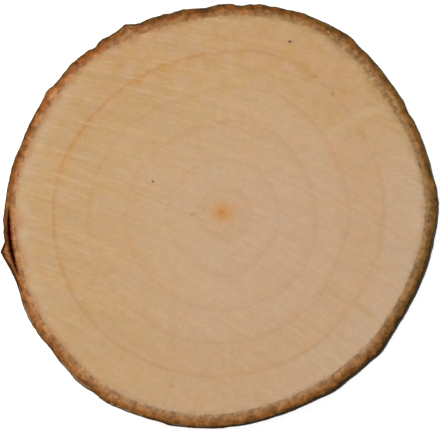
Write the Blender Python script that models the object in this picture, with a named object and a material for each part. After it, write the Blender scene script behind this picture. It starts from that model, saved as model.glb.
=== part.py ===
"""A slice sawn across a young branch: a disc of wood with its ring of bark.

The slice rests on one sawn face and shows the other, +Z up. The origin is the
middle of its foot. Angles are in degrees round the pith, from +X towards +Y.
"""
import math

import bmesh
import bpy
from mathutils import Vector, noise

MM = 0.001

# The slice as a whole, in millimetres
THICKNESS = 10.0
PITH = Vector((0.06, 0.94, 0.0))
LEAN = 0.9
LEAN_TOWARDS = -30.0
SEGMENTS = 360

# Edge of the wood at the bends of its outline: (degrees, radius)
WOOD_EDGE = (
    (0, 46.9), (18, 46.6), (37, 45.95), (47, 46.65), (57, 47.15), (67, 47.0), (81, 45.9), (96, 44.95),
    (110, 44.85), (130, 46.1), (160, 46.65), (171, 47.4), (193, 47.25), (203, 47.9), (212, 47.8),
    (222, 47.5), (236, 47.9), (257, 47.0), (270, 46.3), (286, 45.3), (311, 45.0), (321, 45.3),
    (329, 45.2), (345, 45.95),
)

# Width of the bark on the sawn face where it changes: (degrees, width)
BARK_WIDTH = (
    (0, 2.85), (15, 2.6), (36, 3.3), (55, 2.9), (70, 2.7), (85, 2.85), (101, 3.0), (118, 2.8),
    (130, 2.4), (150, 2.3), (172, 2.2), (185, 3.0), (200, 2.3), (212, 2.85), (229, 3.1), (246, 3.0),
    (262, 3.2), (278, 3.15), (295, 3.05), (310, 3.25), (319, 3.1), (330, 2.85), (345, 2.8),
)

# Lumps and hollows that scallop the bark's outline: (degrees, height, half width in degrees)
BARK_LUMPS = (
    (4, 0.2, 6), (7, 0.2, 2.5), (28, -0.3, 5), (55, 0.35, 6), (79, 0.35, 2.5), (84.5, -0.55, 3),
    (88.5, -0.15, 4), (94.5, -0.4, 4), (98, -0.3, 2.5), (104, -0.15, 3), (114, -0.35, 3.5),
    (117, 0.8, 4), (125, 0.2, 3), (127.5, -0.35, 2), (140, -0.1, 3), (143, -0.2, 2.5),
    (145, 0.3, 2.5), (177, -0.25, 5), (202, -0.35, 3.5), (218, -0.2, 5), (230, 0.3, 4.5),
    (234, -0.25, 5), (238.5, 0.2, 4), (253, -0.2, 3.5), (256, 0.15, 4), (300, 0.2, 3.5),
    (303, 0.25, 4), (319, 0.3, 4), (353, -0.2, 5),
)

# Bark: the joint to the wood, the skin and its crumbled rims
JOINT_GAP = 0.3
RIDGE_HEIGHT = 0.28
RIDGE_COUNT = 14.0
RIDGE_LENGTH = 26.0
SWELLING_HEIGHT = 0.16
SWELLING_COUNT = 24.0
SWELLING_LENGTH = 5.0
WALL_ROWS = 6
RIM_HEIGHT = 0.35
RIM_SHARE = 0.1

# The side where the skin is calmest, and the share of its relief that is left there
CALM_SIDE = -40.0
CALM_SHARE = 0.3

# The slit where an outer strip of bark has lifted, and the pointed lip beside it
SLIT_FROM = 177.5
SLIT_TO = 198.0
SLIT_RADIUS = 48.7
SLIT_BOW = 0.3
SLIT_WIDTH = 1.25
SLIT_DEPTH = 7.0
SLIT_STEPS = 16
CUTTER_RISE = 1.0
LIP_AT = 190.1
LIP_HEIGHT = 1.5
LIP_BEFORE = 2.6
LIP_AFTER = 9.0
LIP_SHARPNESS = 1.25
LIP_AT_FOOT = 0.4

# Faces that meet at more than this many degrees are shaded with a crisp edge
CRISP_EDGE = 40.0


def clear_scene():
    for item in list(bpy.data.objects):
        bpy.data.objects.remove(item, do_unlink=True)


def make_material(name, colour, roughness):
    material = bpy.data.materials.new(name)
    material.use_nodes = True
    shader = material.node_tree.nodes["Principled BSDF"]
    shader.inputs["Base Color"].default_value = (*colour, 1.0)
    shader.inputs["Metallic"].default_value = 0.0
    shader.inputs["Roughness"].default_value = roughness
    return material


def add_object(name, bm, material=None):
    """Turn the finished bmesh into an object, round sides smooth and cut edges sharp."""
    bmesh.ops.recalc_face_normals(bm, faces=bm.faces)
    mesh = bpy.data.meshes.new(name)
    bm.to_mesh(mesh)
    bm.free()
    mesh.shade_smooth()
    mesh.set_sharp_from_angle(angle=math.radians(CRISP_EDGE))
    if material:
        mesh.materials.append(material)
    item = bpy.data.objects.new(name, mesh)
    bpy.context.collection.objects.link(item)
    return item


def smooth_ring(stations, angle):
    """Read a smooth closed curve through (degrees, value) stations at one angle."""
    laps = [(place + 360.0 * lap, value) for lap in (-1, 0, 1) for place, value in stations]
    angle %= 360.0
    after = next(i for i, (place, value) in enumerate(laps) if place > angle)
    (a0, v0), (a1, v1), (a2, v2), (a3, v3) = laps[after - 2:after + 2]
    span = a2 - a1
    t = (angle - a1) / span
    slope_1 = (v2 - v0) / (a2 - a0) * span
    slope_2 = (v3 - v1) / (a3 - a1) * span
    rise = t * t * (3.0 - 2.0 * t)
    return v1 + (v2 - v1) * rise + slope_1 * t * (1.0 - t) ** 2 - slope_2 * t * t * (1.0 - t)


def turn_from(angle, place):
    """Signed degrees from a place on the rim to an angle, the short way round."""
    return (angle - place + 180.0) % 360.0 - 180.0


def lumps(angle):
    """Height of the scallops: each is a round swelling that fades out at its half width."""
    total = 0.0
    for place, height, half_width in BARK_LUMPS:
        across = turn_from(angle, place) / half_width
        if abs(across) < 1.0:
            total += height * (1.0 - across * across) ** 2
    return total


def lip(angle, height):
    """Height of the pointed lip: steep before its tip, long after it, and lower towards the foot."""
    turn = turn_from(angle, LIP_AT)
    across = -turn / LIP_BEFORE if turn < 0.0 else turn / LIP_AFTER
    if across >= 1.0:
        return 0.0
    fade = LIP_AT_FOOT + (1.0 - LIP_AT_FOOT) * height / THICKNESS
    return LIP_HEIGHT * (1.0 - across) ** LIP_SHARPNESS * fade


def skin_relief(angle, height):
    """Long ridges up the stem with short swellings over them, both calmer on one side."""
    around = Vector((math.cos(math.radians(angle)), math.sin(math.radians(angle)), 0.0))
    up = Vector((0.0, 0.0, height))
    ridges = noise.noise(around * RIDGE_COUNT + up / RIDGE_LENGTH)
    swellings = noise.noise(around * SWELLING_COUNT + up / SWELLING_LENGTH)
    lively = 0.5 - 0.5 * math.cos(math.radians(angle - CALM_SIDE))
    calm = CALM_SHARE + (1.0 - CALM_SHARE) * lively
    return calm * (RIDGE_HEIGHT * ridges + SWELLING_HEIGHT * swellings)


def slice_point(angle, radius, height):
    """A point of the slice: the whole stem leans, so its foot lies a little to one side."""
    shift = LEAN * (1.0 - height / THICKNESS)
    side = math.radians(LEAN_TOWARDS)
    turn = math.radians(angle)
    x = PITH.x + radius * math.cos(turn) + shift * math.cos(side)
    y = PITH.y + radius * math.sin(turn) + shift * math.sin(side)
    return Vector((x, y, height)) * MM


def wood_radius(angle):
    return smooth_ring(WOOD_EDGE, angle)


def bark_radius(angle, height):
    """Outer radius of the bark at an angle and a height."""
    width = smooth_ring(BARK_WIDTH, angle) + lumps(angle) + lip(angle, height)
    return wood_radius(angle) + width + skin_relief(angle, height)


def build_wood(material):
    """The disc: a plain drum whose rim is moved out to the wood's edge."""
    bm = bmesh.new()
    bmesh.ops.create_cone(
        bm, cap_ends=True, cap_tris=True, segments=SEGMENTS, radius1=1.0, radius2=1.0, depth=1.0
    )
    for vertex in bm.verts:
        angle = math.degrees(math.atan2(vertex.co.y, vertex.co.x))
        height = THICKNESS if vertex.co.z > 0.0 else 0.0
        share = vertex.co.xy.length
        vertex.co = slice_point(angle, share * (wood_radius(angle) - JOINT_GAP / 2.0), height)
    return add_object("wood", bm, material)


def bark_profile():
    """Section of the bark: (share of its width, height) from the wood out, over and back."""
    wall = THICKNESS - 2.0 * RIM_HEIGHT
    section = [(0.0, 0.0), (1.0 - RIM_SHARE, 0.0)]
    section += [(1.0, RIM_HEIGHT + wall * row / WALL_ROWS) for row in range(WALL_ROWS + 1)]
    section += [(1.0 - RIM_SHARE, THICKNESS), (0.5, THICKNESS), (0.0, THICKNESS)]
    return section


def build_bark(material):
    """The ring: its section spun round the pith, then moved out to the bark's outline."""
    bm = bmesh.new()
    corners = [bm.verts.new((1.0 + share, 0.0, height)) for share, height in bark_profile()]
    edges = [bm.edges.new((corners[i - 1], corners[i])) for i in range(len(corners))]
    bmesh.ops.spin(
        bm, geom=corners + edges, cent=(0, 0, 0), axis=(0, 0, 1), angle=math.tau,
        steps=SEGMENTS, use_merge=True,
    )
    for vertex in bm.verts:
        angle = math.degrees(math.atan2(vertex.co.y, vertex.co.x))
        height = vertex.co.z
        share = vertex.co.xy.length - 1.0
        inner = wood_radius(angle) + JOINT_GAP / 2.0
        outer = bark_radius(angle, height)
        vertex.co = slice_point(angle, inner + (outer - inner) * share, height)
    return add_object("bark", bm, material)


def slit_outline():
    """Points round the slit's mouth, bowed outwards: out along one side, back along the other."""
    shares = [step / SLIT_STEPS for step in range(SLIT_STEPS + 1)]
    corners = [(share, 1.0) for share in shares] + [(share, -1.0) for share in shares[-2:0:-1]]
    outline = []
    for share, side in corners:
        angle = SLIT_FROM + (SLIT_TO - SLIT_FROM) * share
        swell = math.sin(math.pi * share)
        radius = SLIT_RADIUS + (SLIT_BOW + side * SLIT_WIDTH / 2.0) * swell
        outline.append(slice_point(angle, radius, THICKNESS + CUTTER_RISE))
    return outline


def cut_slit(bark):
    """A lens-shaped slit sunk from the sawn face, pointed at both ends."""
    bm = bmesh.new()
    mouth = bm.faces.new([bm.verts.new(point) for point in slit_outline()])
    drawn = bmesh.ops.extrude_face_region(bm, geom=[mouth])["geom"]
    floor = [item for item in drawn if isinstance(item, bmesh.types.BMVert)]
    bmesh.ops.translate(bm, verts=floor, vec=Vector((0.0, 0.0, -(SLIT_DEPTH + CUTTER_RISE) * MM)))
    cutter = add_object("slit_cutter", bm)
    cutter.hide_render = True
    cutter.display_type = "WIRE"
    cut = bark.modifiers.new("slit", "BOOLEAN")
    cut.operation = "DIFFERENCE"
    cut.solver = "EXACT"
    cut.object = cutter


def main():
    clear_scene()
    build_wood(make_material("wood", (0.55, 0.355, 0.2), 0.62))
    bark = build_bark(make_material("bark", (0.17, 0.09, 0.045), 0.85))
    cut_slit(bark)


main()
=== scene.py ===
"""Looks of the wood slice: the sawn disc with its rings and saw marks, and the ring of rough bark.

Lengths are in millimetres unless a name says otherwise, and angles are in degrees
round the pith, from +X towards +Y. The meshes themselves are in metres.
"""

import math
import random

import bmesh
import bpy
import numpy as np
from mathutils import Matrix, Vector, noise


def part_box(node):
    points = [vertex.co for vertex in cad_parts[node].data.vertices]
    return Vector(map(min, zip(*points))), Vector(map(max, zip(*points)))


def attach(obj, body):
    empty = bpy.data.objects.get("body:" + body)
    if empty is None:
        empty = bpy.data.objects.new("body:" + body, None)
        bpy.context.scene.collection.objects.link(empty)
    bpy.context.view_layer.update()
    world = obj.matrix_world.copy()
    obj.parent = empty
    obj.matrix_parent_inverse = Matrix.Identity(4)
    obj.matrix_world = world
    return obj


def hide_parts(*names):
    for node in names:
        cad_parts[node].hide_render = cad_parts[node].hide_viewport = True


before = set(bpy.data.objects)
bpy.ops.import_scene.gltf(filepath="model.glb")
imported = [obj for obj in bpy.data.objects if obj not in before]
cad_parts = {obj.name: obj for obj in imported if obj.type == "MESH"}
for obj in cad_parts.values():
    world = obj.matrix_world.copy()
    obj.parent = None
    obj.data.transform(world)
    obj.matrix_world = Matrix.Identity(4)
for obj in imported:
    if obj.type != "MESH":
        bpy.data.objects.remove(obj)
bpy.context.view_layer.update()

MM = 0.001
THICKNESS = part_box("bark")[1].z / MM

# The stem: where its pith is on the sawn face, and how far its foot lies to one side
PITH = (0.06, 0.94)
LEAN = 0.9
LEAN_TOWARDS = -30.0

# Edge of the wood at the bends of its outline: (degrees, radius)
WOOD_EDGE = (
    (0, 46.9), (18, 46.6), (37, 45.95), (47, 46.65), (57, 47.15), (67, 47.0), (81, 45.9), (96, 44.95),
    (110, 44.85), (130, 46.1), (160, 46.65), (171, 47.4), (193, 47.25), (203, 47.9), (212, 47.8),
    (222, 47.5), (236, 47.9), (257, 47.0), (270, 46.3), (286, 45.3), (311, 45.0), (321, 45.3),
    (329, 45.2), (345, 45.95),
)
RAGGED_EDGE = 0.12
MEAN_RADIUS = 47.0
JOINT = 0.02

# Growth rings from the pith out, at the bends of each: (degrees, radius)
GROWTH_RINGS = (
    ((0, 7.0), (45, 6.8), (75, 5.6), (120, 5.7), (150, 5.4), (190, 5.8), (215, 5.2), (270, 6.3), (300, 6.9),
     (330, 7.2)),
    ((0, 13.5), (30, 13.0), (60, 12.9), (90, 12.4), (120, 12.2), (150, 12.0), (180, 12.6), (225, 12.9),
     (255, 14.0), (285, 14.6), (315, 13.8), (345, 13.8)),
    ((0, 22.2), (20, 21.8), (45, 21.9), (60, 22.4), (90, 21.2), (112, 20.6), (135, 20.9), (150, 21.4),
     (180, 22.2), (205, 22.6), (230, 22.0), (255, 22.5), (285, 22.5), (320, 23.1), (345, 22.6)),
    ((0, 29.8), (30, 29.5), (60, 30.3), (75, 29.9), (105, 27.9), (120, 28.2), (135, 29.2), (150, 29.8),
     (180, 30.8), (195, 31.0), (225, 30.3), (255, 30.4), (285, 30.0), (315, 29.8), (335, 29.2)),
    ((0, 37.6), (30, 37.3), (45, 37.6), (60, 38.3), (75, 38.2), (90, 37.0), (105, 36.4), (135, 36.8),
     (150, 37.3), (165, 38.3), (180, 38.7), (205, 38.9), (225, 38.8), (240, 38.3), (270, 37.7), (300, 37.4),
     (330, 37.1)),
)
YEARS = len(GROWTH_RINGS) + 1

# Width of the bark on the sawn face where it changes: (degrees, width)
BARK_WIDTH = (
    (0, 2.85), (15, 2.6), (36, 3.3), (55, 2.9), (70, 2.7), (85, 2.85), (101, 3.0), (118, 2.8),
    (130, 2.4), (150, 2.3), (172, 2.2), (185, 3.0), (200, 2.3), (212, 2.85), (229, 3.1), (246, 3.0),
    (262, 3.2), (278, 3.15), (295, 3.05), (310, 3.25), (319, 3.1), (330, 2.85), (345, 2.8),
)

# Lumps and hollows that scallop the bark's outline: (degrees, height, half width in degrees)
BARK_LUMPS = (
    (4, 0.2, 6), (7, 0.2, 2.5), (28, -0.3, 5), (55, 0.35, 6), (79, 0.35, 2.5), (84.5, -0.55, 3),
    (88.5, -0.15, 4), (94.5, -0.4, 4), (98, -0.3, 2.5), (104, -0.15, 3), (114, -0.35, 3.5),
    (117, 0.8, 4), (125, 0.2, 3), (127.5, -0.35, 2), (140, -0.1, 3), (143, -0.2, 2.5),
    (145, 0.3, 2.5), (177, -0.25, 5), (202, -0.35, 3.5), (218, -0.2, 5), (230, 0.3, 4.5),
    (234, -0.25, 5), (238.5, 0.2, 4), (253, -0.2, 3.5), (256, 0.15, 4), (300, 0.2, 3.5),
    (303, 0.25, 4), (319, 0.3, 4), (353, -0.2, 5),
)

# The bark's skin: long ridges, short swellings, scales, grain, breathing pores and its worn rims
RIDGE_HEIGHT = 0.28
RIDGE_COUNT = 14.0
RIDGE_LENGTH = 26.0
SWELLING_HEIGHT = 0.16
SWELLING_COUNT = 24.0
SWELLING_LENGTH = 5.0
SCALE_HEIGHT = 0.1
GRAIN_HEIGHT = 0.04
PORE_COUNT = 90
PORE_HEIGHT = 0.12
RIM_HEIGHT = 0.3

# The side where the skin is calmest, and the share of its relief that is left there
CALM_SIDE = -40.0
CALM_SHARE = 0.3

# The slit where an outer strip of bark has lifted, and the pointed lip beside it
SLIT_FROM = 177.5
SLIT_TO = 198.0
SLIT_RADIUS = 48.7
SLIT_BOW = 0.3
SLIT_WIDTH = 1.25
SLIT_DEPTH = 7.0
LIP_AT = 190.1
LIP_HEIGHT = 1.5
LIP_BEFORE = 2.6
LIP_AFTER = 9.0
LIP_SHARPNESS = 1.25
LIP_AT_FOOT = 0.4

# Marks of the circular saw: arcs of the blade's radius, set on along the feed
BLADE_RADIUS = 242.0
FEED_TOWARDS = 204.7
BLADE_OFFSET = 156.1
MARK_SPACING = 2.05
MARK_DEPTH = 0.03

# Faces that meet at more than this many degrees are shaded with a crisp edge
CRISP_EDGE = 50.0

# How fine the meshes are: sections round the pith, the cuts between them, and rings of points
WOOD_SECTIONS = 90
BARK_SECTIONS = 120
CUTS = 7
WOOD_RINGS = 100
WOOD_FOOT_RINGS = 24
WALL_ROWS = 50
SEED = 7

# Shares of the bark's width with a ring of points, on the sawn face and under it
TOP_SHARES = (0.0, 0.06, 0.12, 0.18, 0.24, 0.3, 0.34, 0.38, 0.42, 0.46, 0.5, 0.54, 0.58, 0.62, 0.66, 0.7,
              0.75, 0.8, 0.85, 0.89, 0.93)
FOOT_SHARES = (0.93, 0.85, 0.75, 0.65, 0.55, 0.45, 0.3, 0.15, 0.0)

# The rings of points that line the slit: which they are, how far out over its half width and past
# its edge each one lies, and its share of the slit's depth
SLIT_SHARES = (0.34, 0.38, 0.42, 0.46, 0.5, 0.54, 0.58, 0.62, 0.66)
SLIT_SPREAD = ((-1.0, -0.8), (-1.0, 0.0), (-0.75, 0.0), (-0.3, 0.0), (0.1, 0.0), (0.45, 0.0), (0.85, 0.0),
               (1.0, 0.0), (1.0, 0.8))
SLIT_SUNK = (0.0, 0.01, 0.035, 0.12, 1.0, 0.16, 0.03, 0.01, 0.0)

# The haze that the studio light adds to the colour of the wood, and to that of the bark
WOOD_HAZE = 0.012
BARK_HAZE = 0.003


def smooth_ring(stations, angles):
    """Values at many angles of a smooth closed curve through (degrees, value) stations."""
    places, values = np.array(stations, float).T
    places = np.concatenate((places - 360.0, places, places + 360.0))
    values = np.tile(values, 3)
    slopes = np.zeros_like(values)
    slopes[1:-1] = (values[2:] - values[:-2]) / (places[2:] - places[:-2])
    angles = np.asarray(angles) % 360.0
    after = np.searchsorted(places, angles, side="right")
    before = after - 1
    span = places[after] - places[before]
    t = (angles - places[before]) / span
    rise = t * t * (3.0 - 2.0 * t)
    bend = slopes[before] * t * (1.0 - t) ** 2 - slopes[after] * t * t * (1.0 - t)
    return values[before] + (values[after] - values[before]) * rise + bend * span


def turn_from(angles, place):
    """Signed degrees from a place on the rim to each angle, the short way round."""
    return (angles - place + 180.0) % 360.0 - 180.0


def soft_step(low, high, values):
    """0 up to low, 1 from high on, and smooth between them."""
    t = np.clip((values - low) / (high - low), 0.0, 1.0)
    return t * t * (3.0 - 2.0 * t)


def noise_at(*coordinates):
    """Smooth noise between -1 and 1 at many points, given as their coordinates."""
    points = np.stack(np.broadcast_arrays(*coordinates), axis=1)
    return np.array([noise.noise(point) for point in points.tolist()])


def noise_round(angles, heights, count, length):
    """Noise that closes on itself round the stem and changes slowly up it."""
    turns = np.radians(angles)
    return noise_at(np.cos(turns) * count, np.sin(turns) * count, heights / length)


def slice_points(angles, radii, heights):
    """Points of the leaning stem, in metres."""
    turns = np.radians(angles)
    shift = LEAN * (1.0 - heights / THICKNESS)
    side = math.radians(LEAN_TOWARDS)
    x = PITH[0] + radii * np.cos(turns) + shift * math.cos(side)
    y = PITH[1] + radii * np.sin(turns) + shift * math.sin(side)
    return np.stack((x, y, heights), axis=1) * MM


def wood_edge(angles):
    """Radius of the wood, with a slightly ragged edge."""
    return smooth_ring(WOOD_EDGE, angles) + RAGGED_EDGE * noise_round(angles, 0.0 * angles, 40.0, 1.0)


def saw_passes(x, y):
    """Count of the saw's marks up to a point, with a little unevenness, and its place across the feed."""
    feed = math.radians(FEED_TOWARDS)
    along = x * math.cos(feed) + y * math.sin(feed)
    across = -x * math.sin(feed) + y * math.cos(feed)
    fed = along + np.sqrt(BLADE_RADIUS ** 2 - (BLADE_OFFSET - across) ** 2)
    return fed / MARK_SPACING + 0.3 * noise_at(fed / 9.0, across / 60.0, 3.7), across


def saw_relief(passes, x, y):
    """Depth of the saw marks: low ridges, every second one stronger, and worn away in some patches."""
    crest = (0.5 + 0.5 * np.cos(math.tau * passes)) * (0.7 + 0.3 * np.cos(math.pi * passes))
    patch = 0.6 + 0.4 * noise_at(x / 17.0, y / 17.0, 9.1)
    return MARK_DEPTH * patch * (1.0 - crest)


def lumps(angles):
    """Height of the scallops: each is a round swelling that fades out at its half width."""
    total = 0.0 * angles
    for place, height, half_width in BARK_LUMPS:
        across = np.clip(np.abs(turn_from(angles, place)) / half_width, 0.0, 1.0)
        total += height * (1.0 - across * across) ** 2
    return total


def lip(angles, heights):
    """Height of the pointed lip: steep before its tip, long after it, and lower towards the foot."""
    turns = turn_from(angles, LIP_AT)
    across = np.clip(np.where(turns < 0.0, -turns / LIP_BEFORE, turns / LIP_AFTER), 0.0, 1.0)
    fade = LIP_AT_FOOT + (1.0 - LIP_AT_FOOT) * heights / THICKNESS
    return LIP_HEIGHT * (1.0 - across) ** LIP_SHARPNESS * fade


def pores(angles, heights):
    """Breathing pores of the skin: short level bars, full at their middle and none between them."""
    pick = random.Random(SEED)
    swell = 0.0 * angles
    for _ in range(PORE_COUNT):
        place, height = pick.uniform(0.0, 360.0), pick.uniform(0.4, THICKNESS - 0.4)
        half_length, half_height = pick.uniform(1.0, 3.0), pick.uniform(0.25, 0.5)
        away = (turn_from(angles, place) / half_length) ** 2 + ((heights - height) / half_height) ** 2
        swell = np.maximum(swell, np.clip(1.0 - away, 0.0, 1.0))
    return swell


def skin_relief(angles, heights, swell):
    """Ridges and swellings of the skin, with scales and grain cut into them and pores on them."""
    ridges = RIDGE_HEIGHT * noise_round(angles, heights, RIDGE_COUNT, RIDGE_LENGTH)
    swellings = SWELLING_HEIGHT * noise_round(angles, heights, SWELLING_COUNT, SWELLING_LENGTH)
    scales = SCALE_HEIGHT * (noise_round(angles, heights + 40.0, 60.0, 2.2) - 0.5)
    grain = GRAIN_HEIGHT * (noise_round(angles, heights + 90.0, 150.0, 0.5) - 0.5)
    calm = CALM_SHARE + (1.0 - CALM_SHARE) * (0.5 - 0.5 * np.cos(np.radians(angles - CALM_SIDE)))
    return calm * (ridges + swellings + scales) + grain + PORE_HEIGHT * swell * swell


def crumbs(x, y):
    """Depth of the torn, granular face of the sawn bark."""
    coarse = noise_at(x / 0.8, y / 0.8, 0.0)
    fine = noise_at(x / 0.35, y / 0.35, 5.0)
    return np.maximum(0.07 + 0.06 * coarse + 0.05 * fine, 0.0)


def spun(section, sections):
    """Spin a section, given as (radius, height), a full turn, and cut it finer round the turn."""
    bm = bmesh.new()
    corners = [bm.verts.new((radius, 0.0, height)) for radius, height in section]
    edges = [bm.edges.new((corners[i - 1], corners[i])) for i in range(1, len(corners))]
    if section[0][0] > 0.0:
        edges.append(bm.edges.new((corners[-1], corners[0])))
    bmesh.ops.spin(
        bm, geom=corners + edges, cent=(0, 0, 0), axis=(0, 0, 1), angle=math.tau,
        steps=sections, use_merge=True,
    )
    bmesh.ops.remove_doubles(bm, verts=bm.verts, dist=1e-5)
    chord = 2.0 * math.sin(math.pi / sections)
    ring_edges = [
        edge for edge in bm.edges
        if abs(edge.calc_length() - chord * edge.verts[0].co.xy.length) < 1e-5
        and abs(edge.verts[0].co.z - edge.verts[1].co.z) < 1e-6
    ]
    bmesh.ops.subdivide_edges(bm, edges=ring_edges, cuts=CUTS)
    bmesh.ops.recalc_face_normals(bm, faces=bm.faces)
    return bm


def finished_piece(name, bm, sections, shape, material, node):
    """Give a spun drum its true shape and the values its material reads, and put it on the frame.

    shape(angles, radii, heights) returns the points in metres and the values by name.
    """
    mesh = bpy.data.meshes.new(name)
    bm.to_mesh(mesh)
    bm.free()
    co = np.zeros(len(mesh.vertices) * 3)
    mesh.vertices.foreach_get("co", co)
    x, y, z = co.reshape(-1, 3).T
    angles = np.degrees(np.arctan2(y, x))

    # The cuts lie on straight chords between the sections, so each point is moved back onto its circle
    half_step = 180.0 / sections
    off_middle = np.radians(angles % (2.0 * half_step) - half_step)
    radii = np.hypot(x, y) * np.cos(off_middle) / math.cos(math.radians(half_step))
    points, values = shape(angles, radii, z)
    mesh.vertices.foreach_set("co", points.ravel())
    for label, numbers in values.items():
        mesh.attributes.new(label, "FLOAT", "POINT").data.foreach_set("value", numbers)
    mesh.shade_smooth()
    mesh.set_sharp_from_angle(angle=math.radians(CRISP_EDGE))
    mesh.materials.append(material)
    mesh.update()
    piece = bpy.data.objects.new(name, mesh)
    bpy.context.scene.collection.objects.link(piece)
    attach(piece, "root")
    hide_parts(node)
    return piece


def wood_section():
    """Section of the disc as (share of the radius, height), from the pith out and back under."""
    top = [(ring / WOOD_RINGS, THICKNESS) for ring in range(WOOD_RINGS + 1)]
    foot = [(ring / WOOD_FOOT_RINGS, 0.0) for ring in range(WOOD_FOOT_RINGS, -1, -1)]
    return top + [(1.0, THICKNESS / 2.0)] + foot


def wood_shape(angles, radii, heights):
    """The disc: shares of the radius moved out to the wood's edge, with saw marks on both faces."""
    edge = wood_edge(angles)
    reach = radii * edge
    years = 0.0 * reach
    inside = 0.0 * reach
    for ring in [smooth_ring(stations, angles) for stations in GROWTH_RINGS] + [edge]:
        years += np.clip((reach - inside) / (ring - inside), 0.0, 1.0)
        inside = ring
    x, y = reach * np.cos(np.radians(angles)), reach * np.sin(np.radians(angles))
    passes, swept = saw_passes(x, y)
    cut = saw_relief(passes, x, y)
    level = np.where(heights > THICKNESS / 2.0, heights - cut, heights + cut)
    return slice_points(angles, reach, level), {
        "years": years, "past_edge": reach - edge, "passes": passes, "swept": swept,
    }


def bark_section():
    """Section of the bark as (1 + share of its width, height): over the top, down, under and back."""
    wall = THICKNESS - 2.0 * RIM_HEIGHT
    section = [(share, THICKNESS) for share in TOP_SHARES]
    section += [(0.965, THICKNESS - 0.04), (0.99, THICKNESS - 0.14)]
    section += [(1.0, THICKNESS - RIM_HEIGHT - wall * row / WALL_ROWS) for row in range(WALL_ROWS + 1)]
    section += [(0.99, 0.14), (0.965, 0.04)]
    section += [(share, 0.0) for share in FOOT_SHARES]
    section += [(0.0, THICKNESS * part) for part in (0.25, 0.5, 0.75)]
    return [(1.0 + share, height) for share, height in section]


def bark_shape(angles, radii, heights):
    """The ring: shares of the width moved out between the wood's edge and the bark's skin."""
    shares = radii - 1.0
    edge = wood_edge(angles)
    inner = edge - JOINT
    swell = pores(angles, heights)
    width = smooth_ring(BARK_WIDTH, angles) + lumps(angles) + lip(angles, heights)
    outer = smooth_ring(WOOD_EDGE, angles) + width + skin_relief(angles, heights, swell)
    reach = inner + (outer - inner) * shares
    on_top = soft_step(THICKNESS - 0.2, THICKNESS, heights)
    on_foot = soft_step(0.2, 0.0, heights)

    # The slit: the rings of points gather over its walls, and each sinks by its own share of the depth
    along = np.clip((angles % 360.0 - SLIT_FROM) / (SLIT_TO - SLIT_FROM), 0.0, 1.0)
    bulge = np.sin(np.pi * along)
    ragged = noise_round(angles, 0.0 * angles, 45.0, 1.0)
    ragged = ragged + 0.5 * noise_round(angles, 3.0 + 0.0 * angles, 110.0, 1.0)
    half = SLIT_WIDTH / 2.0 * bulge * (0.98 + 0.55 * ragged)
    gaping = soft_step(0.0, 0.12, half) * (heights > THICKNESS - 0.01)
    walls = [SLIT_RADIUS + SLIT_BOW * bulge + spread * half + 0.2 * side for spread, side in SLIT_SPREAD]
    places = [inner] + walls + [outer]
    marks = (0.0, *SLIT_SHARES, 1.0)
    gathered = reach
    for low, high, start, end in zip(marks, marks[1:], places, places[1:]):
        between = (shares >= low - 1e-4) & (shares <= high + 1e-4)
        gathered = np.where(between, start + (end - start) * (shares - low) / (high - low), gathered)
    reach = reach + (gathered - reach) * gaping
    past_slit = np.abs(reach - SLIT_RADIUS - SLIT_BOW * bulge) - half + 0.6 * soft_step(0.12, 0.0, half)
    sunk = gaping * soft_step(0.05, 0.45, half) * np.interp(shares, marks, (0.0, *SLIT_SUNK, 0.0))

    x, y = reach * np.cos(np.radians(angles)), reach * np.sin(np.radians(angles))
    torn = crumbs(x, y) * soft_step(-0.1, 0.3, reach - edge)
    level = heights - on_top * torn + on_foot * torn - sunk * SLIT_DEPTH
    passes, swept = saw_passes(x, y)
    near_top = soft_step(THICKNESS - 1.2, THICKNESS - 0.3, heights)
    near_foot = soft_step(1.2, 0.3, heights)
    return slice_points(angles, reach, level), {
        "past_edge": reach - edge, "from_skin": (outer - reach) * np.maximum(on_top, on_foot),
        "near_face": np.maximum(near_top, near_foot), "sunk": sunk, "past_slit": past_slit,
        "pore": swell, "passes": passes, "swept": swept,
    }


def paint(red, green, blue, haze=WOOD_HAZE):
    """The colour of a surface that shows as this screen colour, 0 to 255, in the studio light."""
    levels = [value / 255.0 for value in (red, green, blue)]
    linear = [v / 12.92 if v <= 0.04045 else ((v + 0.055) / 1.055) ** 2.4 for v in levels]
    return (*(max(v - haze, 0.001) for v in linear), 1.0)


def bark_paint(red, green, blue):
    return paint(red, green, blue, BARK_HAZE)


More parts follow.
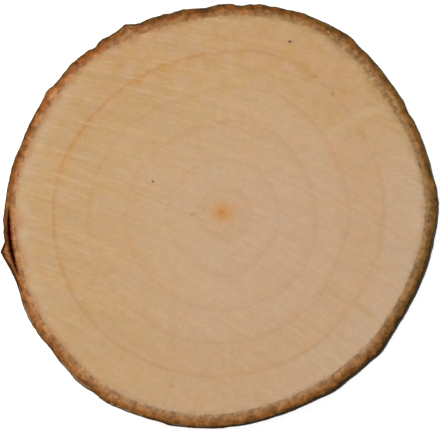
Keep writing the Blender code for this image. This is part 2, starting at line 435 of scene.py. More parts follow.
class Graph:
    """A tree of shader nodes; an input of a new node is a number, a colour or another node's socket."""

    def __init__(self, tree):
        self.tree = tree

    def node(self, kind, inputs, **settings):
        made = self.tree.nodes.new(kind)
        for name, value in settings.items():
            setattr(made, name, value)
        for name, value in inputs.items():
            self.feed(made.inputs[name], value)
        return made

    def feed(self, socket, value):
        if isinstance(value, bpy.types.NodeSocket):
            self.tree.links.new(value, socket)
        else:
            socket.default_value = value

    def calc(self, operation, *values):
        return self.node("ShaderNodeMath", dict(enumerate(values)), operation=operation).outputs[0]

    def vector(self, operation, *values, give=0):
        made = self.node("ShaderNodeVectorMath", {}, operation=operation)
        for place, value in enumerate(values):
            slot = "Scale" if operation == "SCALE" and place == 1 else place
            self.feed(made.inputs[slot], value)
        return made.outputs[give]

    def times(self, *values):
        """All the values multiplied together."""
        product = values[0]
        for value in values[1:]:
            product = self.calc("MULTIPLY", product, value)
        return product

    def roughened(self, value, grains, reach):
        """A value made uneven by grains of 0 to 1, by up to half the reach each way."""
        return self.calc("MULTIPLY_ADD", self.calc("SUBTRACT", grains, 0.5), reach, value)

    def moved(self, place, height):
        """A place moved up the stem, where a noise has other patches."""
        return self.vector("ADD", place, (0.0, 0.0, height))

    def attribute(self, name):
        return self.node("ShaderNodeAttribute", {}, attribute_name=name).outputs["Fac"]

    def join(self, x, y, z):
        return self.node("ShaderNodeCombineXYZ", {"X": x, "Y": y, "Z": z}).outputs[0]

    def step(self, value, low, high, start=0.0, end=1.0):
        """Go smoothly from start to end as the value goes from low to high."""
        inputs = {"Value": value, "From Min": low, "From Max": high, "To Min": start, "To Max": end}
        return self.node("ShaderNodeMapRange", inputs, interpolation_type="SMOOTHSTEP").outputs[0]

    def noise(self, place, size, detail=2.0):
        inputs = {"Vector": place, "Scale": 1.0 / size, "Detail": detail, "Roughness": 0.55}
        return self.node("ShaderNodeTexNoise", inputs).outputs["Fac"]

    def facing(self, direction, degrees):
        """1 in one direction from the pith, down to -1 opposite it."""
        turn = math.radians(degrees)
        return self.vector("DOT_PRODUCT", direction, (math.cos(turn), math.sin(turn), 0.0), give="Value")

    def towards(self, direction, degrees, low, high, start=0.0, end=1.0):
        """Go smoothly from start to end as facing one direction goes from low to high."""
        return self.step(self.facing(direction, degrees), low, high, start, end)

    def ramp(self, value, *stops):
        """Colours, or plain numbers, at places from 0 to 1."""
        made = self.node("ShaderNodeValToRGB", {"Fac": value})
        points = made.color_ramp.elements
        while len(points) < len(stops):
            points.new(1.0)
        for point, (place, colour) in zip(points, stops):
            point.position = place
            point.color = colour if isinstance(colour, tuple) else (colour, colour, colour, 1.0)
        return made.outputs["Color"]

    def by_turn(self, turn, *stops):
        """A number read round the stem from (degrees, number) stops."""
        places = [(degrees / 360.0, number) for degrees, number in stops]
        return self.ramp(turn, *places, (1.0, stops[0][1]))

    def blend(self, share, below, above, mode="MIX"):
        made = self.node("ShaderNodeMix", {"Factor": share}, data_type="RGBA", blend_type=mode)
        self.feed(made.inputs[6], below)
        self.feed(made.inputs[7], above)
        return made.outputs[2]

    def group(self, group, **inputs):
        made = self.node("ShaderNodeGroup", {}, node_tree=group)
        for name, value in inputs.items():
            self.feed(made.inputs[name], value)
        return made.outputs


def shader_group(name, takes, gives):
    """An empty node group, its graph, the sockets that come in, and those that its results go to."""
    group = bpy.data.node_groups.new(name, "ShaderNodeTree")
    for label, kind in takes.items():
        group.interface.new_socket(label, in_out="INPUT", socket_type="NodeSocket" + kind)
    for label, kind in gives.items():
        group.interface.new_socket(label, in_out="OUTPUT", socket_type="NodeSocket" + kind)
    came_in = group.nodes.new("NodeGroupInput").outputs
    goes_out = group.nodes.new("NodeGroupOutput").inputs
    return group, Graph(group), came_in, goes_out


def place_group():
    """Where a point lies in the leaning stem.

    Place is in millimetres from the pith, Direction points away from it, and Turn goes from 0 to 1 round it.
    """
    group, graph, _, out = shader_group(
        "place in the stem", {},
        {"Place": "Vector", "Direction": "Vector", "Radius": "Float", "Turn": "Float"},
    )
    at = graph.vector("SCALE", graph.node("ShaderNodeTexCoord", {}).outputs["Object"], 1.0 / MM)
    height = graph.node("ShaderNodeSeparateXYZ", {"Vector": at}).outputs["Z"]
    side = math.radians(LEAN_TOWARDS)
    shift = graph.calc("MULTIPLY_ADD", height, -LEAN / THICKNESS, LEAN)
    lean = graph.vector("SCALE", (math.cos(side), math.sin(side), 0.0), shift)
    place = graph.vector("SUBTRACT", graph.vector("SUBTRACT", at, (*PITH, 0.0)), lean)
    level = graph.vector("MULTIPLY", place, (1.0, 1.0, 0.0))
    graph.feed(out["Place"], place)
    graph.feed(out["Direction"], graph.vector("NORMALIZE", level))
    graph.feed(out["Radius"], graph.vector("LENGTH", level, give="Value"))
    parts = graph.node("ShaderNodeSeparateXYZ", {"Vector": level}).outputs
    turn = graph.calc("DIVIDE", graph.calc("ARCTAN2", parts["Y"], parts["X"]), math.tau)
    graph.feed(out["Turn"], graph.calc("FRACT", turn))
    return group


def mottle_group():
    """Soft patches of a size, from -1 to 1 at their strongest."""
    group, graph, into, out = shader_group(
        "mottle", {"Place": "Vector", "Size": "Float"}, {"Amount": "Float"}
    )
    place = graph.vector("DIVIDE", into["Place"], graph.join(into["Size"], into["Size"], into["Size"]))
    cloud = graph.noise(place, 1.0, 3.0)
    graph.feed(out["Amount"], graph.step(cloud, 0.25, 0.75, -1.0, 1.0))
    return group


def patch_group():
    """One soft oval patch: 1 at its middle and 0 at its rim."""
    group, graph, into, out = shader_group(
        "patch", {"Place": "Vector", "Middle": "Vector", "Turn": "Float", "Reach": "Vector"},
        {"Amount": "Float"},
    )
    away = graph.vector("SUBTRACT", into["Place"], into["Middle"])
    turned = graph.node(
        "ShaderNodeVectorRotate", {"Vector": away, "Angle": graph.times(into["Turn"], -1.0)},
        rotation_type="Z_AXIS",
    ).outputs[0]
    flat = graph.vector("MULTIPLY", turned, (1.0, 1.0, 0.0))
    far = graph.vector("LENGTH", graph.vector("DIVIDE", flat, into["Reach"]), give="Value")
    graph.feed(out["Amount"], graph.step(far, 1.0, 0.2))
    return group


def blade_group():
    """Arcs left by the saw: a pale crest at each mark, partly painted highlight, and fine scratches of the
    teeth between them.
    """
    group, graph, into, out = shader_group(
        "blade marks", {"Passes": "Float", "Swept": "Float"},
        {"Height": "Float", "Tone": "Float", "Line": "Float"},
    )
    passes, swept = into["Passes"], into["Swept"]
    wave = graph.calc("COSINE", graph.times(passes, math.tau))
    second = graph.calc("MULTIPLY_ADD", graph.calc("COSINE", graph.times(passes, math.pi)), 0.3, 0.7)
    crest = graph.times(graph.step(wave, -1.0, 1.0), second)
    long_teeth = graph.noise(graph.join(passes, graph.calc("DIVIDE", swept, 24.0), 7.0), 0.66, 3.0)
    short_teeth = graph.noise(graph.join(passes, graph.calc("DIVIDE", swept, 7.0), 2.0), 0.4, 2.0)
    tone = graph.calc(
        "MULTIPLY_ADD", graph.step(long_teeth, 0.3, 0.7, -1.0, 1.0), 0.7,
        graph.step(short_teeth, 0.3, 0.7, -0.3, 0.3),
    )
    broken = graph.step(
        graph.noise(graph.join(passes, graph.calc("DIVIDE", swept, 5.0), 3.0), 0.8, 2.5), 0.42, 0.7
    )
    graph.feed(out["Height"], graph.calc("MULTIPLY_ADD", tone, 0.25, graph.times(crest, 0.5)))
    graph.feed(out["Tone"], tone)
    graph.feed(out["Line"], graph.times(crest, broken))
    return group


def grains_group():
    """Crumbly grains of sawn bark: a colour and a height."""
    group, graph, into, out = shader_group(
        "bark grains", {"Place": "Vector", "Direction": "Vector", "Radius": "Float"},
        {"Color": "Color", "Height": "Float"},
    )
    around = graph.vector("SCALE", into["Direction"], MEAN_RADIUS)
    height = graph.node("ShaderNodeSeparateXYZ", {"Vector": into["Place"]}).outputs["Z"]
    depth = graph.join(0.0, 0.0, graph.calc("ADD", into["Radius"], height))
    stretched = graph.vector("ADD", around, depth)
    fine = graph.noise(stretched, 0.62, 1.0)
    coarse = graph.noise(stretched, 1.7, 2.0)
    tint = graph.noise(graph.vector("ADD", stretched, (31.0, 0.0, 0.0)), 1.0, 2.0)
    hue = graph.ramp(
        tint,
        (0.3, (0.78, 0.76, 0.84, 1.0)), (0.42, (0.98, 0.88, 0.78, 1.0)), (0.55, (1.05, 1.03, 0.92, 1.0)),
        (0.72, (1.08, 1.18, 1.24, 1.0)),
    )
    shade = graph.times(graph.step(fine, 0.25, 0.75, 0.9, 1.1), graph.step(coarse, 0.3, 0.7, 0.74, 1.26))
    graph.feed(out["Color"], graph.blend(1.0, hue, graph.join(shade, shade, shade), "MULTIPLY"))
    graph.feed(out["Height"], graph.calc("MULTIPLY_ADD", graph.calc("SUBTRACT", coarse, fine), 0.5, fine))
    return group


def tint_group():
    """Make a colour lighter or darker by an amount, times a strength."""
    group, graph, into, out = shader_group(
        "tint", {"Color": "Color", "Amount": "Float", "Strength": "Float"}, {"Color": "Color"}
    )
    scale = graph.calc("MULTIPLY_ADD", into["Amount"], into["Strength"], 1.0)
    graph.feed(out["Color"], graph.vector("SCALE", into["Color"], scale))
    return group


# Soft clouds of colour in the wood, warm, bluish and rosy: (shift up, size, most of it, colour)
CLOUDS = (
    (0.0, 5.0, 0.29, (199, 158, 110)),
    (50.0, 3.8, 0.36, (197, 168, 141)),
    (110.0, 3.0, 0.44, (203, 160, 125)),
)

# Marks on the wood, from the pith: (x, y, turn, half length, half width, strength, colour)
WOOD_MARKS = (
    (15.87, 39.33, 0, 0.6, 0.5, 0.9, (118, 70, 56)),
    (-15.64, 7.36, -30, 0.65, 0.5, 0.8, (135, 85, 72)),
    (-6.44, -0.23, 20, 1.0, 0.7, 0.4, (150, 108, 92)),
    (25.76, 27.37, 20, 0.8, 0.55, 0.45, (158, 103, 85)),
    (21.62, 31.51, 20, 0.6, 0.5, 0.35, (165, 110, 80)),
    (-11.27, -39.79, 0, 0.7, 0.6, 0.3, (165, 115, 85)),
    (33.6, 23.0, 19, 8.5, 1.8, 0.42, (202, 173, 132)),
    (27.0, 19.6, 22, 5.5, 1.5, 0.3, (204, 175, 138)),
    (-25.3, -13.5, 27, 3.6, 0.7, 0.18, (176, 132, 92)),
    (33.1, -22.3, -38, 4.8, 1.3, 0.5, (188, 147, 98)),
    (27.9, -28.3, -38, 4.5, 1.3, 0.3, (188, 148, 104)),
    (35.4, -12.0, -45, 3.2, 1.0, 0.35, (190, 150, 108)),
)


def new_material(name, roughness):
    material = bpy.data.materials.new(name)
    material.use_nodes = True
    shader = material.node_tree.nodes["Principled BSDF"]
    shader.inputs["Roughness"].default_value = roughness
    shader.inputs["Specular IOR Level"].default_value = 0.25
    return material, Graph(material.node_tree), shader


def wood_material(groups):
    """Sawn end grain: pale years with darker late wood, rays, saw marks, specks and an orange pith."""
    material, graph, shader = new_material("sawn end grain", 0.6)
    stem = graph.group(groups["place"])
    place, direction, radius = stem["Place"], stem["Direction"], stem["Radius"]
    past_edge = graph.attribute("past_edge")

    # Years, with a little waver in each ring
    waver = graph.group(groups["mottle"], Place=place, Size=3.0)["Amount"]
    years = graph.calc("MULTIPLY_ADD", waver, 0.02, graph.attribute("years"))
    colour = graph.ramp(
        graph.calc("DIVIDE", years, YEARS),
        (0.0, paint(196, 138, 82)), (0.03, paint(200, 145, 88)), (0.06, paint(199, 155, 108)),
        (0.1, paint(197, 161, 124)), (0.15, paint(196, 162, 127)), (0.19, paint(198, 167, 132)),
        (0.33, paint(198, 166, 131)), (0.5, paint(198, 165, 128)), (0.66, paint(197, 163, 124)),
        (0.69, paint(193, 156, 111)), (0.97, paint(192, 157, 111)), (1.0, paint(188, 154, 114)),
    )

    # Broad tints: yellower at the upper left and the top, pinker to the lower right, and pale beside
    # the bark at the lower right and, in patches, on the left
    grown = graph.step(years, 0.6, 1.3)
    tilt = graph.facing(direction, 145)
    yellow = graph.times(grown, graph.step(tilt, -0.6, 0.8), graph.step(years, 1.5, 4.4, 0.1, 0.86))
    colour = graph.blend(yellow, colour, paint(195, 159, 106))
    pink = graph.times(grown, graph.step(tilt, 0.2, -1.0))
    colour = graph.blend(graph.times(pink, 0.4), colour, paint(197, 166, 140))
    top = graph.times(graph.step(years, 4.0, 5.0), graph.towards(direction, 88, 0.0, 0.9))
    colour = graph.blend(graph.times(top, 0.9), colour, paint(192, 151, 98))
    lower_right = graph.times(graph.step(years, 4.6, 5.6), graph.towards(direction, -25, 0.5, 0.95))
    colour = graph.blend(graph.times(lower_right, 0.7), colour, paint(193, 168, 140))
    sapwood = graph.times(graph.step(years, 5.45, 5.85), graph.towards(direction, 176, 0.6, 1.0))
    patchy = graph.step(graph.noise(graph.moved(place, 80.0), 3.5, 2.0), 0.35, 0.6)
    sapwood = graph.times(sapwood, graph.calc("MULTIPLY_ADD", patchy, 0.75, 0.15))
    colour = graph.blend(sapwood, colour, paint(200, 172, 134))

    # Late wood: a soft darkening and a thin line at the end of each year, strongest in the fifth
    part = graph.calc("FRACT", years)
    upper_left = graph.towards(direction, 145, 0.0, 0.9)
    faded = graph.times(graph.step(part, 0.08, 0.0), graph.step(years, 0.5, 1.0))
    line = graph.calc("MAXIMUM", graph.step(part, 0.89, 0.985), faded)
    ended = graph.calc("DIVIDE", years, YEARS)
    strength = graph.ramp(
        ended, (0.15, 0.27), (0.35, 0.29), (0.45, 0.36), (0.62, 0.46), (0.72, 0.48), (0.79, 0.6)
    )
    uneven = graph.step(graph.noise(place, 4.5, 2.0), 0.3, 0.7, 0.78, 1.22)
    inner_side = graph.towards(direction, 172, -0.6, 0.9, 1.15, 0.82)
    fifth_side = graph.by_turn(
        stem["Turn"], (0, 0.45), (25, 0.45), (50, 0.56), (75, 0.64), (95, 0.85), (118, 0.95), (150, 0.7),
        (172, 0.54), (205, 0.5), (225, 0.44), (250, 0.5), (300, 0.5),
    )
    fifth = graph.step(years, 4.2, 4.6)
    stronger = graph.calc("SUBTRACT", graph.times(fifth_side, 2.0), inner_side)
    by_side = graph.calc("ADD", inner_side, graph.times(fifth, stronger))
    complete = graph.step(years, 5.5, 5.3)
    strength = graph.times(strength, by_side, uneven, complete)
    crisp = graph.towards(direction, 170, -0.8, 0.6, 0.38, 0.56)
    shoulder = graph.calc("MAXIMUM", graph.step(part, 0.68, 0.96), graph.times(faded, fifth))
    late = graph.calc("MULTIPLY_ADD", shoulder, 0.46, graph.times(line, crisp))
    late_colour = graph.blend(upper_left, paint(180, 134, 92), paint(190, 133, 66))
    warm_late = graph.blend(upper_left, paint(192, 148, 104), paint(199, 144, 72))
    late_colour_here = graph.blend(fifth, late_colour, warm_late)
    colour = graph.blend(graph.times(shoulder, 0.46, strength), colour, late_colour_here)
    fifth_line = graph.by_turn(
        stem["Turn"], (0, 0.2), (30, 0.28), (50, 0.46), (70, 0.42), (88, 0.4), (102, 0.64), (120, 0.5),
        (145, 0.52), (160, 0.46), (182, 0.46), (215, 0.42), (250, 0.42), (270, 0.34), (300, 0.36),
        (330, 0.24),
    )
    fifth_line = graph.times(fifth_line, uneven, complete)
    sharp = graph.blend(fifth, graph.times(crisp, strength), fifth_line)
    fifth_colour = graph.blend(upper_left, paint(178, 134, 92), paint(180, 122, 62))
    line_colour = graph.blend(fifth, late_colour, fifth_colour)

    # Rays from the pith, plainest in the outer years, and soft mottling under the lines of the years
    outwards = graph.join(0.0, 0.0, graph.calc("DIVIDE", radius, 16.0))
    rays = graph.noise(graph.vector("ADD", graph.vector("SCALE", direction, 60.0), outwards), 1.6, 2.0)
    ray_tone = graph.times(graph.step(rays, 0.3, 0.7, -1.0, 1.0), graph.step(years, 1.0, 5.6, 0.3, 1.0))
    colour = graph.group(groups["tint"], Color=colour, Amount=ray_tone, Strength=0.025)["Color"]
    clouded = graph.step(years, 0.1, 0.6)
    for height, size, most, shown in CLOUDS:
        cloud = graph.group(groups["mottle"], Place=graph.moved(place, height), Size=size)["Amount"]
        share = graph.times(graph.step(cloud, -0.8, 1.0, 0.0, most), clouded)
        colour = graph.blend(share, colour, paint(*shown))
    colour = graph.blend(graph.times(line, sharp, 0.55), colour, line_colour)
    shifted = graph.moved(place, 50.0)
    soft = graph.group(groups["mottle"], Place=shifted, Size=2.0)["Amount"]
    colour = graph.group(groups["tint"], Color=colour, Amount=soft, Strength=0.028)["Color"]
    fine = graph.group(groups["mottle"], Place=shifted, Size=0.5)["Amount"]
    colour = graph.group(groups["tint"], Color=colour, Amount=fine, Strength=0.044)["Color"]

    # Saw marks: their own tone, with painted light and shade along them that is plainest on the upper left,
    # towards the window
    marks = graph.group(groups["blade"], Passes=graph.attribute("passes"), Swept=graph.attribute("swept"))
    side = graph.times(graph.towards(direction, 150, -0.4, 0.9), graph.step(years, 1.0, 5.6))
    plain = graph.calc("MULTIPLY_ADD", side, 0.02, 0.037)
    colour = graph.group(groups["tint"], Color=colour, Amount=marks["Tone"], Strength=plain)["Color"]
    # Pale crests of the marks: partly their own tone, partly painted highlight
    pale = graph.times(side, 0.5, graph.step(marks["Line"], 0.05, 0.9))
    colour = graph.blend(pale, colour, paint(206, 177, 138))

    # Specks and streaks, and the crooked core of the pith
    wander = graph.node("ShaderNodeTexNoise", {"Vector": place, "Scale": 0.9}).outputs["Color"]
    drift = graph.vector("SCALE", wander, 0.9)
    crooked = graph.vector("ADD", place, graph.vector("SUBTRACT", drift, (0.45, 0.45, 0.45)))
    for x, y, turn, half_length, half_width, share, shown in WOOD_MARKS:
        patch = graph.group(
            groups["patch"], Place=crooked, Middle=(x, y, 0.0), Turn=math.radians(turn),
            Reach=(half_length, half_width, 1.0),
        )["Amount"]
        colour = graph.blend(graph.times(patch, share), colour, paint(*shown))
    core = graph.group(
        groups["patch"], Place=crooked, Middle=(0.0, 0.0, 0.0), Turn=0.6, Reach=(1.1, 0.6, 1.0)
    )["Amount"]
    colour = graph.blend(graph.times(core, 0.35), colour, paint(176, 112, 52))

    # The last of the wood, where grains of the inner bark are dragged over it
    grains = graph.group(groups["grains"], Place=place, Direction=direction, Radius=radius)
    reach_in = graph.by_turn(
        stem["Turn"], (0, 0.6), (20, 0.82), (50, 0.8), (75, 0.5), (120, 0.72), (170, 0.82), (200, 0.66),
        (260, 0.42), (330, 0.36),
    )
    around = graph.vector("SCALE", direction, MEAN_RADIUS)
    clumps = graph.step(graph.noise(around, 4.0, 2.0), 0.3, 0.7, 1.0, 3.0)
    reach_in = graph.times(reach_in, clumps)
    ragged = graph.roughened(past_edge, grains["Height"], 3.0)
    fringe = graph.step(graph.calc("DIVIDE", ragged, reach_in), -1.2, 0.6)
    dragged = graph.blend(graph.towards(direction, 40, 0.2, 0.9), paint(174, 126, 86), paint(164, 136, 94))
    dragged = graph.blend(graph.towards(direction, -62, 0.0, 0.9), dragged, paint(170, 143, 115))
    inner_bark = graph.blend(1.0, dragged, grains["Color"], "MULTIPLY")
    colour = graph.blend(fringe, colour, inner_bark)

    graph.feed(shader.inputs["Base Color"], colour)
    rough = graph.calc("MULTIPLY_ADD", late, -0.06, graph.step(fine, -1.0, 1.0, 0.56, 0.66))
    graph.feed(shader.inputs["Roughness"], graph.calc("MULTIPLY_ADD", fringe, 0.2, rough))
    fibre = graph.noise(place, 0.12, 2.0)
    height = graph.calc("MULTIPLY_ADD", fibre, 0.35, marks["Height"])
    bump = graph.node("ShaderNodeBump", {"Height": height, "Distance": 0.03 * MM, "Strength": 1.0})
    graph.feed(shader.inputs["Normal"], bump.outputs[0])
    return material


def bark_material(groups):
    """Bark: crumbly rust-brown layers where it is sawn, and grey-brown skin with pores outside."""
    material, graph, shader = new_material("rough bark", 0.85)
    shader.inputs["Specular IOR Level"].default_value = 0.06
    stem = graph.group(groups["place"])
    place, direction, radius = stem["Place"], stem["Direction"], stem["Radius"]
    past_edge, from_skin = graph.attribute("past_edge"), graph.attribute("from_skin")
    grains = graph.group(groups["grains"], Place=place, Direction=direction, Radius=radius)

    # Sawn layers, by depth under the skin, in a lit and a shaded copy: painted light makes them brighter at
    # the upper left and painted shade darker at the lower right
    waver = graph.roughened(from_skin, grains["Height"], 1.4)
    depth = graph.calc("DIVIDE", waver, 3.5)
    painted_lit_layers = graph.ramp(
        depth,
        (0.04, bark_paint(114, 72, 40)), (0.14, bark_paint(136, 88, 50)), (0.3, bark_paint(162, 104, 60)),
        (0.5, bark_paint(182, 128, 86)), (0.7, bark_paint(178, 134, 94)),
    )
    painted_shaded_layers = graph.ramp(
        depth,
        (0.04, bark_paint(50, 35, 17)), (0.14, bark_paint(84, 58, 29)), (0.3, bark_paint(110, 71, 33)),
        (0.5, bark_paint(136, 94, 54)), (0.7, bark_paint(145, 107, 73)), (0.95, bark_paint(166, 130, 96)),
    )
    # Share of painted shade round the stem: most at the right and the lower right, least at the left
    shade = graph.by_turn(
        stem["Turn"], (0, 0.88), (24, 0.62), (42, 0.64), (62, 0.86), (100, 0.7), (122, 0.46), (142, 0.1),
        (162, 0.1), (182, 0.2), (200, 0.18), (225, 0.42), (240, 0.52), (262, 0.78), (280, 0.76),
        (300, 0.84), (330, 0.97),
    )
    colour = graph.blend(shade, painted_lit_layers, painted_shaded_layers)
    on_right = graph.towards(direction, 25, 0.3, 0.9)
    greyed = graph.step(from_skin, 0.9, 1.7)
    colour = graph.blend(
        graph.times(on_right, graph.calc("MULTIPLY_ADD", greyed, 0.25, 0.3)), colour,
        graph.blend(greyed, bark_paint(114, 84, 38), bark_paint(148, 120, 84)),
    )
    spots = graph.step(graph.noise(graph.moved(place, 200.0), 1.1, 2.0), 0.56, 0.66)
    spots = graph.times(graph.step(from_skin, 0.6, 1.4), on_right, spots, graph.step(past_edge, 0.1, 0.6))
    colour = graph.blend(graph.times(spots, 0.5), colour, bark_paint(92, 68, 50))
    rusty = graph.step(graph.noise(graph.moved(place, 140.0), 2.6, 2.0), 0.46, 0.66)
    rusty = graph.times(rusty, graph.towards(direction, 120, -0.4, 0.9, 0.0, 0.5))
    colour = graph.blend(rusty, colour, bark_paint(152, 86, 40))
    colour = graph.blend(1.0, colour, grains["Color"], "MULTIPLY")

    # Thin darker and rustier layers that run along the rim
    along_rim = graph.vector("SCALE", direction, 12.0)
    inwards = graph.join(0.0, 0.0, graph.times(waver, 1.5))
    layers = graph.noise(graph.vector("ADD", along_rim, inwards), 1.0, 2.0)
    colour = graph.group(
        groups["tint"], Color=colour, Amount=graph.step(layers, 0.3, 0.7, -1.0, 1.0),
        Strength=graph.step(from_skin, 2.2, 0.4, 0.05, 0.24),
    )["Color"]

    # Against the wood the bark is mauve-brown and fades into it
    inner = graph.step(graph.roughened(past_edge, grains["Height"], 2.2), 0.85, -0.35)
    fading = graph.blend(
        graph.towards(direction, 40, 0.2, 0.9), bark_paint(174, 124, 85), bark_paint(166, 132, 91)
    )
    fading = graph.blend(graph.towards(direction, -62, 0.0, 0.9), fading, bark_paint(160, 130, 103))
    fading = graph.blend(1.0, fading, grains["Color"], "MULTIPLY")
    colour = graph.blend(inner, colour, fading)

    # The skin: dark brown, olive to the right, with silvery scales at the lower left, and painted shade that
    # makes it near black at the lower right
    cloud = graph.noise(place, 2.2, 4.0)
    skin = graph.ramp(
        cloud,
        (0.3, bark_paint(34, 24, 14)), (0.46, bark_paint(60, 46, 30)), (0.58, bark_paint(84, 68, 48)),
        (0.72, bark_paint(112, 98, 76)),
    )
    olive = graph.towards(direction, 30, 0.2, 0.9, 0.0, 0.6)
    skin = graph.blend(olive, skin, bark_paint(84, 78, 50))
    # Painted shade: the skin near black towards the lower right
    painted_shade_lower_right = graph.towards(direction, -50, 0.3, 0.9, 0.0, 0.6)
    skin = graph.blend(painted_shade_lower_right, skin, bark_paint(24, 15, 5))
    upright = graph.vector("MULTIPLY", place, (1.0, 1.0, 0.15))
    cracks = graph.step(graph.noise(upright, 0.5, 3.0), 0.36, 0.46, 0.62, 1.0)
    blotches = graph.step(graph.noise(graph.moved(place, 170.0), 5.0, 2.0), 0.3, 0.7, 0.8, 1.25)
    worn = graph.times(cracks, blotches)
    skin = graph.blend(1.0, skin, graph.join(worn, worn, worn), "MULTIPLY")
    flakes = graph.step(graph.noise(graph.moved(place, 20.0), 2.4, 3.0), 0.48, 0.56)
    silver = graph.times(flakes, graph.towards(direction, 230, 0.45, 0.95))
    skin = graph.blend(graph.times(silver, 0.3), skin, bark_paint(140, 128, 108))
    corky = graph.blend(1.0, bark_paint(128, 100, 72), grains["Color"], "MULTIPLY")
    skin = graph.blend(graph.step(graph.attribute("pore"), 0.05, 0.9, 0.0, 0.65), skin, corky)
    ragged_skin = graph.roughened(from_skin, grains["Height"], 0.3)
    colour = graph.blend(graph.step(ragged_skin, 0.3, 0.08), colour, skin)
    seam = graph.times(graph.step(ragged_skin, 0.2, 0.3), graph.step(ragged_skin, 0.6, 0.42))
    colour = graph.blend(graph.times(silver, 0.5, seam), colour, bark_paint(178, 162, 140))

    # A thin olive outline from the right over the top to the left, and a loose flake at the upper left with
    # a painted highlight along its crack and a dark line at its edge
    outline = graph.by_turn(
        stem["Turn"], (0, 0.3), (30, 0.75), (55, 0.75), (75, 0.4), (95, 0.4), (110, 0.75), (125, 0.75),
        (150, 0.65), (176, 0.5), (186, 0.0), (208, 0.0), (220, 0.4), (240, 0.0), (330, 0.0),
    )
    near_face = graph.attribute("near_face")
    outline = graph.times(outline, near_face, graph.step(ragged_skin, 0.5, 0.2))
    olive_grey = graph.blend(1.0, bark_paint(90, 75, 42), grains["Color"], "MULTIPLY")
    colour = graph.blend(outline, colour, olive_grey)
    flake = graph.by_turn(stem["Turn"], (111, 0.0), (115, 0.4), (118, 0.5), (122, 0.0))
    # Painted highlight: a pale line along the crack between the flake and the bark
    crack_painted_highlight = graph.times(graph.step(ragged_skin, 0.95, 0.8), graph.step(ragged_skin, 0.6, 0.75))
    colour = graph.blend(graph.times(flake, crack_painted_highlight), colour, bark_paint(176, 140, 92))
    edge = graph.times(graph.step(ragged_skin, 1.2, 1.05), graph.step(ragged_skin, 0.85, 1.0))
    colour = graph.blend(graph.times(flake, edge), colour, bark_paint(84, 44, 20))

    # A crisp blackish rim along the bottom and the lower right, painted shade at the edge of the skin, and a
    # dark rim along the lip
    # Painted shade along the bottom and the lower right
    rim = graph.by_turn(
        stem["Turn"], (0, 0.2), (10, 0.0), (244, 0.0), (258, 0.8), (280, 0.85), (290, 0.55), (325, 0.4),
        (350, 0.35),
    )
    rim = graph.times(rim, graph.step(ragged_skin, 0.62, 0.3))
    lip_rim = graph.by_turn(
        stem["Turn"], (178, 0.0), (184, 0.5), (188, 0.9), (197, 0.9), (203, 0.3), (208, 0.0)
    )
    lip_rim = graph.times(lip_rim, graph.step(ragged_skin, 0.95, 0.45))
    rim = graph.times(graph.calc("MAXIMUM", rim, lip_rim), near_face)
    colour = graph.blend(rim, colour, bark_paint(50, 36, 16))

    # Red-brown walls of the slit, their own colour, with painted shade that makes them darker towards its
    # floor
    sunk = graph.attribute("sunk")
    beside = graph.times(graph.step(graph.attribute("past_slit"), 0.45, 0.0), 0.7)
    colour = graph.blend(beside, colour, bark_paint(120, 62, 34))
    # Painted shade: the walls darker the deeper they lie
    slit_walls_with_painted_shade = graph.blend(graph.step(sunk, 0.02, 0.2), bark_paint(132, 68, 34), bark_paint(92, 40, 16))
    colour = graph.blend(graph.step(sunk, 0.0, 0.01), colour, slit_walls_with_painted_shade)

    graph.feed(shader.inputs["Base Color"], colour)
    graph.feed(shader.inputs["Roughness"], graph.step(grains["Height"], 0.3, 0.7, 0.78, 0.95))
    marks = graph.group(groups["blade"], Passes=graph.attribute("passes"), Swept=graph.attribute("swept"))
    height = graph.calc("MULTIPLY_ADD", marks["Height"], 0.15, grains["Height"])
    bump = graph.node("ShaderNodeBump", {"Height": height, "Distance": 0.06 * MM, "Strength": 1.0})
    graph.feed(shader.inputs["Normal"], bump.outputs[0])
    return material


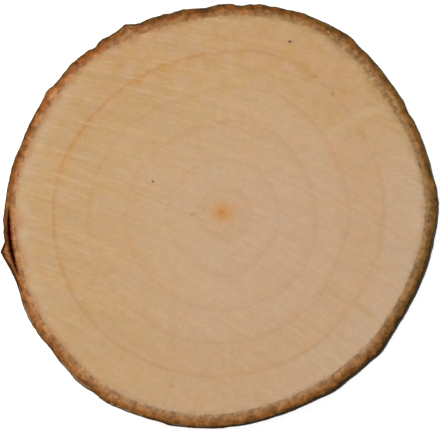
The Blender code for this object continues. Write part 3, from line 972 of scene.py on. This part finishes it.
def build_floor():
    """A plain pale sheet under the slice, a little brighter than the light alone would make it."""
    material, graph, shader = new_material("pale paper", 0.9)
    at = graph.node("ShaderNodeTexCoord", {}).outputs["Object"]
    fibre = graph.noise(graph.vector("SCALE", at, 1.0 / MM), 6.0, 3.0)
    shade = graph.ramp(fibre, (0.2, (0.925, 0.925, 0.925, 1.0)), (0.8, (0.935, 0.935, 0.935, 1.0)))
    graph.feed(shader.inputs["Base Color"], shade)
    shader.inputs["Emission Color"].default_value = (1.0, 1.0, 1.0, 1.0)
    shader.inputs["Emission Strength"].default_value = 0.55
    bm = bmesh.new()
    bmesh.ops.create_grid(bm, x_segments=1, y_segments=1, size=2.0)
    mesh = bpy.data.meshes.new("floor")
    bm.to_mesh(mesh)
    bm.free()
    mesh.materials.append(material)
    floor = bpy.data.objects.new("floor", mesh)
    bpy.context.scene.collection.objects.link(floor)


def build_lights():
    """White light from all round, and one broad soft window at the upper left."""
    world = bpy.data.worlds.new("studio")
    world.use_nodes = True
    world.node_tree.nodes["Background"].inputs["Color"].default_value = (1.0, 1.0, 1.0, 1.0)
    world.node_tree.nodes["Background"].inputs["Strength"].default_value = 0.76
    bpy.context.scene.world = world
    data = bpy.data.lights.new("window", "AREA")
    data.shape = "SQUARE"
    data.size = 0.7
    data.energy = 5.3
    window = bpy.data.objects.new("window", data)
    window.location = (-0.6, 0.6, 0.75)
    window.rotation_euler = (-window.location).to_track_quat("-Z", "Y").to_euler()
    bpy.context.scene.collection.objects.link(window)


def build_camera():
    """Straight above, so far off that the slice fills the frame as in the photograph."""
    lens = 350.0
    sensor = 36.0
    seen_width = 101.2
    aim = (-0.17, 0.48)
    data = bpy.data.cameras.new("camera")
    data.lens = lens
    data.sensor_width = sensor
    data.clip_end = 10.0
    camera = bpy.data.objects.new("camera", data)
    camera.location = Vector((aim[0], aim[1], THICKNESS + seen_width * lens / sensor)) * MM
    bpy.context.scene.collection.objects.link(camera)
    bpy.context.scene.camera = camera


def main():
    bpy.context.scene.view_settings.view_transform = "Standard"
    build_floor()
    build_lights()
    build_camera()
    groups = {
        "place": place_group(), "mottle": mottle_group(), "patch": patch_group(),
        "blade": blade_group(), "grains": grains_group(), "tint": tint_group(),
    }
    finished_piece(
        "sawn_wood", spun(wood_section(), WOOD_SECTIONS), WOOD_SECTIONS, wood_shape,
        wood_material(groups), "wood",
    )
    finished_piece(
        "rough_bark", spun(bark_section(), BARK_SECTIONS), BARK_SECTIONS, bark_shape,
        bark_material(groups), "bark",
    )


main()
